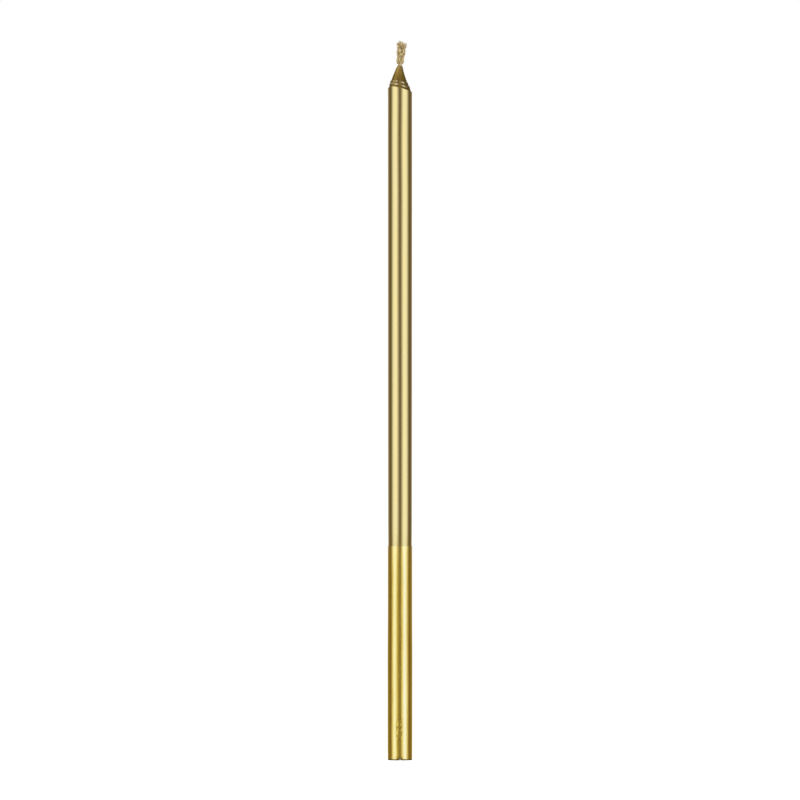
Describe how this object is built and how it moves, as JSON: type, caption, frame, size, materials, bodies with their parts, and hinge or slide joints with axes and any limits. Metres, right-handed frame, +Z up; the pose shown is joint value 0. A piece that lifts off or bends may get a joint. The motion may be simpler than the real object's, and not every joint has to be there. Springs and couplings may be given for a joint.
{
  "type": "birthday candle",
  "caption": "Long slim metallic gold birthday candle with a drawn-out bronze gold tip, a plied cotton wick and a gold foil wrap round its lower end.",
  "frame": {"origin": "centre of the candle's base, on the plane that its lower end stands on", "axes": "+Z up along the candle towards its wick; the front faces -Y, the foil's lap is at the back towards +Y, and the bare wick leans towards +X"},
  "size_m": [0.0042, 0.0043, 0.125],
  "materials": {
    "wax": "satin",
    "bright_gold_coat": "gloss",
    "bronze_gold_film": "satin",
    "gold_foil": "gloss",
    "wick_cotton": "matte"
  },
  "bodies": {
    "root": {"wax_core": "wax", "gold_coat": "bright_gold_coat", "tip_coat": "bronze_gold_film", "foil_sleeve": "gold_foil", "wick_ply_1": "wick_cotton", "wick_ply_2": "wick_cotton", "wick_ply_3": "wick_cotton", "wick_ply_4": "wick_cotton"}
  },
  "joints": []
}
